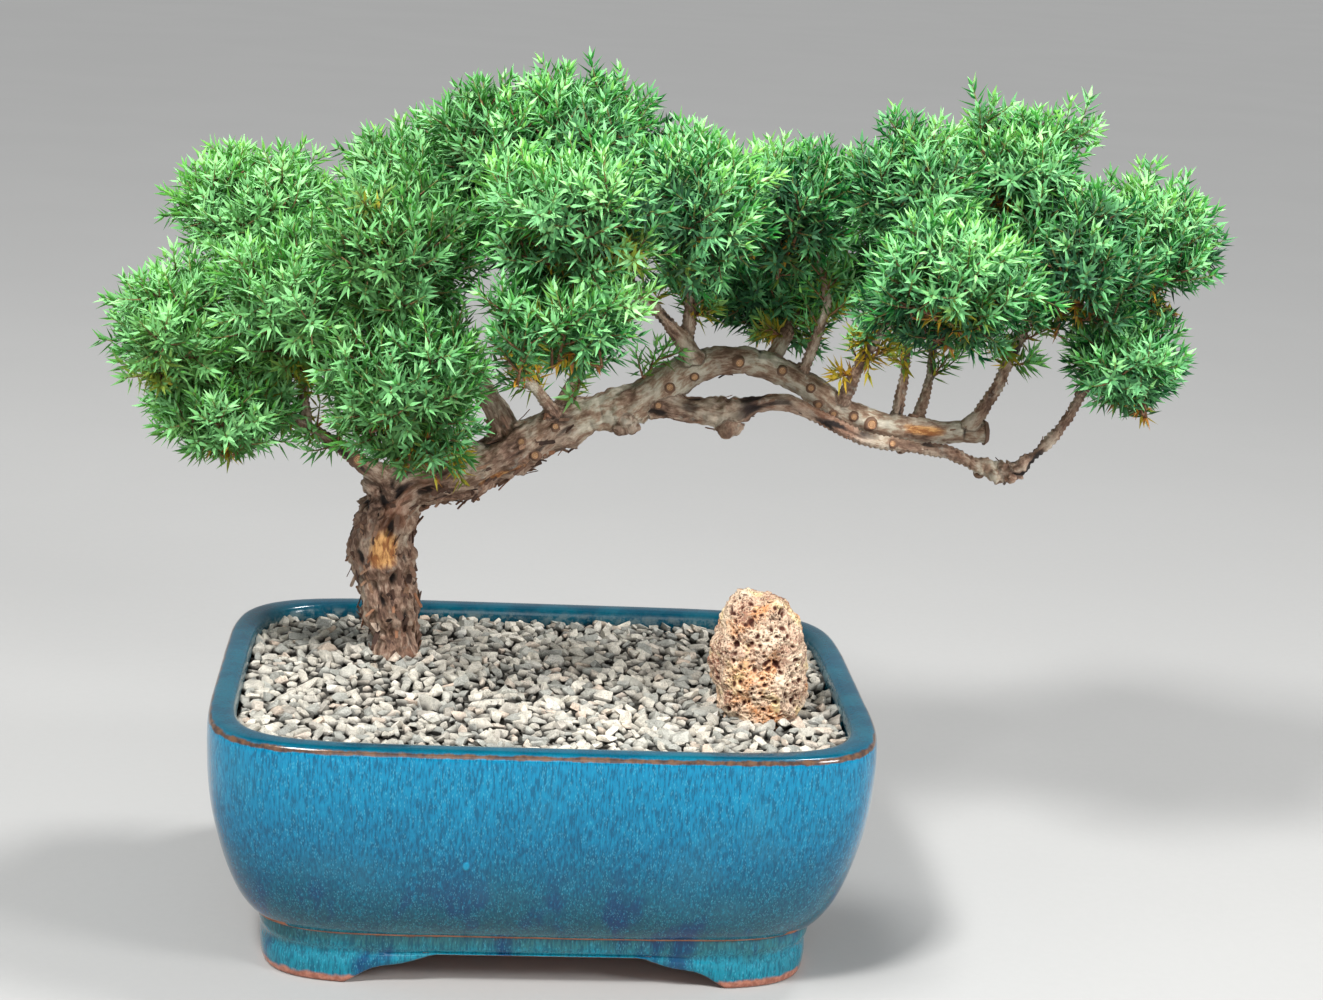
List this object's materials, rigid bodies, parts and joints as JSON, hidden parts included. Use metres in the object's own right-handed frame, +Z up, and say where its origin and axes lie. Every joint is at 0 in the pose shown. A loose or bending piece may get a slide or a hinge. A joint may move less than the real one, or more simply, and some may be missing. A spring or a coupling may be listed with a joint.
{
  "type": "bonsai tree in pot",
  "caption": "Juniper bonsai with an arching windswept trunk in a blue glazed rectangular pot, with gravel and a standing lava rock.",
  "frame": {"origin": "under the middle of the whole plant, on the surface that the pot stands on", "axes": "+X to the right along the pot and the arching trunk, +Z up; the front of the tree faces -Y"},
  "size_m": [0.468, 0.211, 0.3728],
  "materials": {
    "teal_glaze": "gloss",
    "black_plastic": "matte",
    "potting_soil": "matte",
    "grey_gravel": "matte",
    "lava_stone": "matte",
    "juniper_bark": "matte",
    "juniper_needles": "satin"
  },
  "bodies": {
    "root": {"pot": "teal_glaze", "drainage_screen_left": "black_plastic", "drainage_screen_right": "black_plastic", "soil_root_ball": "potting_soil", "gravel_top_dressing": "grey_gravel", "lava_rock": "lava_stone", "trunk_and_branches": "juniper_bark", "foliage_left_tip": "juniper_needles", "foliage_left_low": "juniper_needles", "foliage_left_mid": "juniper_needles", "foliage_left_upper": "juniper_needles", "foliage_front_left_low": "juniper_needles", "foliage_front_left_upper": "juniper_needles", "foliage_upper_left": "juniper_needles", "foliage_rear_left": "juniper_needles", "foliage_crown_left": "juniper_needles", "foliage_crown_top": "juniper_needles", "foliage_crown_front": "juniper_needles", "foliage_front_low": "juniper_needles", "foliage_rear_centre": "juniper_needles", "foliage_centre_front": "juniper_needles", "foliage_centre_right": "juniper_needles", "foliage_centre_rear": "juniper_needles", "foliage_right_inner": "juniper_needles", "foliage_right_top": "juniper_needles", "foliage_right_front": "juniper_needles", "foliage_rear_right": "juniper_needles", "foliage_right_mid": "juniper_needles", "foliage_far_right": "juniper_needles", "foliage_far_right_low": "juniper_needles"}
  },
  "joints": []
}
